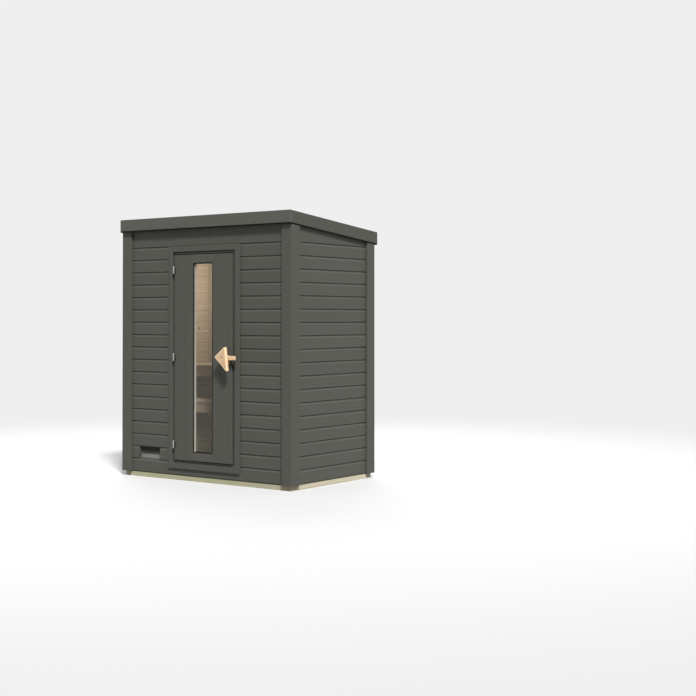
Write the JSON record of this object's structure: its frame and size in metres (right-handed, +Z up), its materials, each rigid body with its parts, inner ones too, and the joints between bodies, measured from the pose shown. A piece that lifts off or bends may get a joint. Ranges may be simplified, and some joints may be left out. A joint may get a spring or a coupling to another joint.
{
  "type": "outdoor sauna cabin",
  "caption": "Small boarded garden sauna cabin with a lean-to roof, a hinged door with a tall narrow pane, an air intake, and benches inside.",
  "frame": {"origin": "middle of the footprint of the wall boards, on the ground, on the underside of the middle base timber", "axes": "+X to the right seen from the front, +Y from the door to the back wall, +Z up"},
  "size_m": [1.955, 1.293, 2.2857],
  "materials": {
    "painted_board": "satin opaque grey-green wood stain",
    "painted_trim": "satin opaque grey-green wood stain",
    "base_timber": "rough, green pressure treatment",
    "spruce": "planed, untreated",
    "pine_handle": "planed and oiled",
    "roof_membrane": "matte mineral roofing sheet",
    "glass": "clear, polished",
    "gasket": "matte",
    "hinge_steel": "zinc plated"
  },
  "bodies": {
    "cabin": {"base_timber_front": "base_timber", "base_timber_back": "base_timber", "base_timber_left": "base_timber", "base_timber_middle": "base_timber", "base_timber_right": "base_timber", "floor": "spruce", "front_wall_left": "painted_board", "front_wall_right": "painted_board", "front_wall_top": "painted_board", "front_wall_sill": "painted_board", "left_wall": "painted_board", "right_wall": "painted_board", "back_wall": "painted_board", "air_intake_sill": "painted_trim", "corner_front_left": "painted_trim", "corner_front_right": "painted_trim", "corner_back_left": "painted_trim", "corner_back_right": "painted_trim", "roof_panel": "spruce", "roof_membrane": "roof_membrane", "fascia_front": "painted_trim", "fascia_back": "painted_trim", "fascia_left": "painted_trim", "fascia_right": "painted_trim", "door_lining_left": "painted_trim", "door_lining_right": "painted_trim", "door_lining_head": "painted_trim", "door_threshold": "painted_trim", "casing_left": "painted_trim", "casing_right": "painted_trim", "casing_head": "painted_trim", "casing_foot": "painted_trim", "hinge_top_jamb": "hinge_steel", "hinge_middle_jamb": "hinge_steel", "hinge_bottom_jamb": "hinge_steel", "upper_bench": "spruce", "lower_bench": "spruce", "backrest": "spruce"},
    "door": {"door_stile_left": "painted_trim", "door_stile_right": "painted_trim", "door_rail_bottom": "painted_trim", "door_rail_top": "painted_trim", "door_glass": "glass", "door_glass_gasket": "gasket", "door_glass_bead": "spruce", "hinge_top_leaf": "hinge_steel", "hinge_middle_leaf": "hinge_steel", "hinge_bottom_leaf": "hinge_steel", "handle_plate": "pine_handle", "handle_block": "pine_handle", "handle_bar": "pine_handle", "inner_grip": "pine_handle"}
  },
  "joints": [
    {"name": "door_hinge", "type": "hinge", "parent": "cabin", "child": "door", "pos_m": [-0.33275, -0.5955, 1], "axis": [0, 0, -1], "range_deg": [0, 110]}
  ]
}
